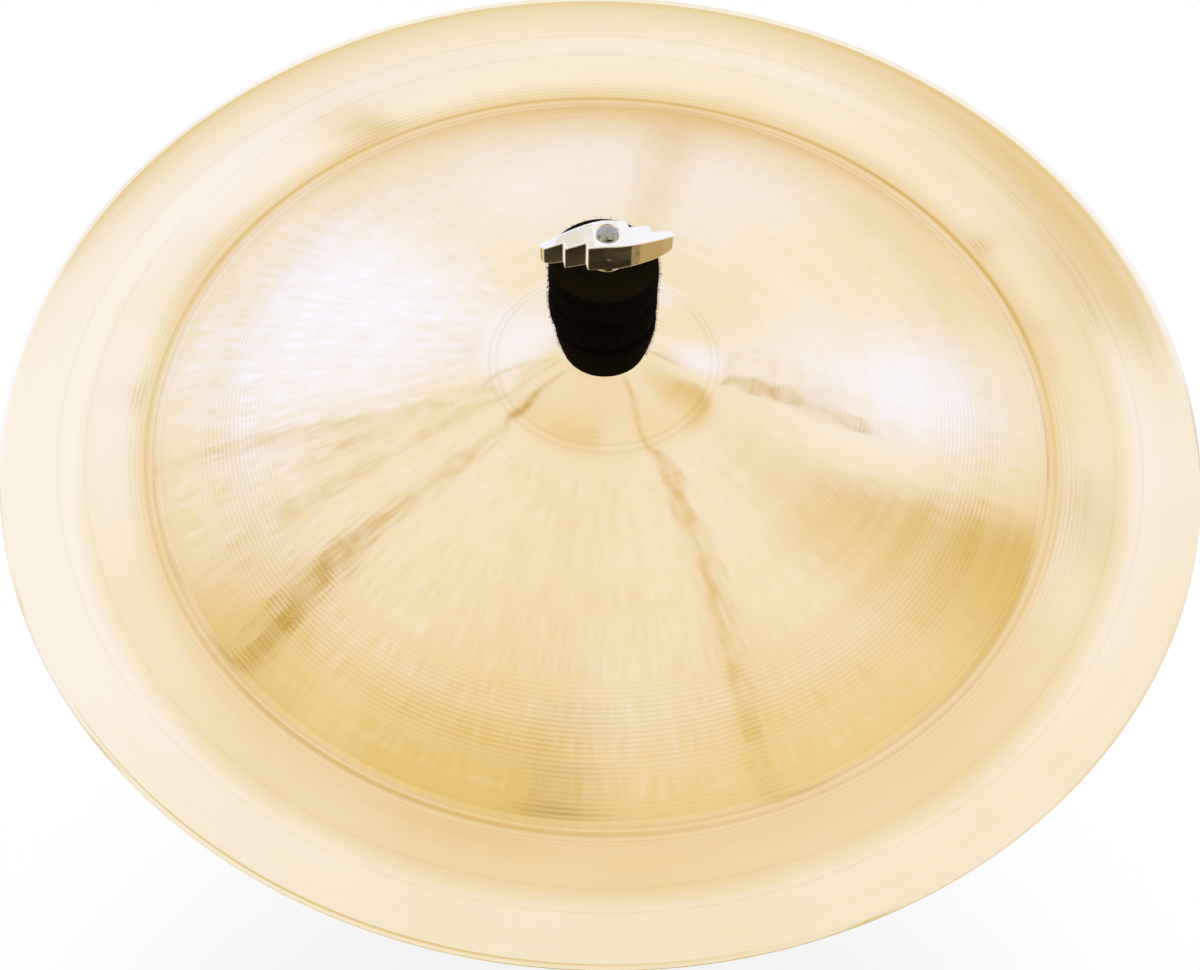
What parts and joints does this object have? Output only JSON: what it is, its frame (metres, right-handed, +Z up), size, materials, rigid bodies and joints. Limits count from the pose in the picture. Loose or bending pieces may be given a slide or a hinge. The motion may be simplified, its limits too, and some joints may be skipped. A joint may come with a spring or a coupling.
{
  "type": "china cymbal",
  "caption": "Bronze china cymbal with an upturned flange and a small bell, clamped between black felts on a threaded rod under a chromed wing nut.",
  "frame": {"origin": "centre of the rod's flat lower end", "axes": "+Z up along the rod, from its lower end to the wing nut; +X along the wing nut's wings within a few degrees; -Y is the side seen in the picture"},
  "size_m": [0.4572, 0.4572, 0.1076],
  "materials": {
    "bronze": "brilliant polish over fine lathe grooves and hammer marks",
    "zinc_steel": "bright zinc plate",
    "chrome": "polished chrome plate on a die casting",
    "nylon": "moulded, slightly waxy",
    "felt": "pressed wool felt with stray fibres"
  },
  "bodies": {
    "rod_stack": {"threaded_rod": "zinc_steel", "seat_nut": "zinc_steel", "seat_washer": "zinc_steel", "sleeve": "nylon", "middle_felt": "felt"},
    "lower_felt": {"lower_felt": "felt"},
    "bell_felt": {"bell_felt": "felt"},
    "cymbal": {"cymbal": "bronze"},
    "top_felt": {"top_felt": "felt"},
    "wing_nut": {"wing_nut": "chrome"}
  },
  "joints": [
    {"name": "felt_turn", "type": "hinge", "parent": "rod_stack", "child": "lower_felt", "pos_m": [0, 0, 0.0398], "axis": [0, 0, 1], "continuous": true},
    {"name": "cymbal_rock", "type": "hinge", "parent": "lower_felt", "child": "bell_felt", "pos_m": [0, 0, 0.0398], "axis": [1, 0, 0], "range_deg": [-5, 5], "stiffness_Nm_per_rad": 1.5, "deforming": ["lower_felt", "bell_felt"]},
    {"name": "cymbal_spin", "type": "hinge", "parent": "bell_felt", "child": "cymbal", "pos_m": [0, 0, 0.0398], "axis": [0, 0, 1], "continuous": true},
    {"name": "nut_rise", "type": "slide", "parent": "rod_stack", "child": "top_felt", "axis": [0, 0, 1], "range_m": [0, 0.0025], "deforming": ["middle_felt"]},
    {"name": "wing_nut_turn", "type": "hinge", "parent": "top_felt", "child": "wing_nut", "pos_m": [0, 0, 0.0932], "axis": [0, 0, 1], "range_deg": [0, 720]}
  ],
  "couplings": [
    {"joint": "nut_rise", "follows": "wing_nut_turn", "m_per_rad": 0.00019894}
  ]
}
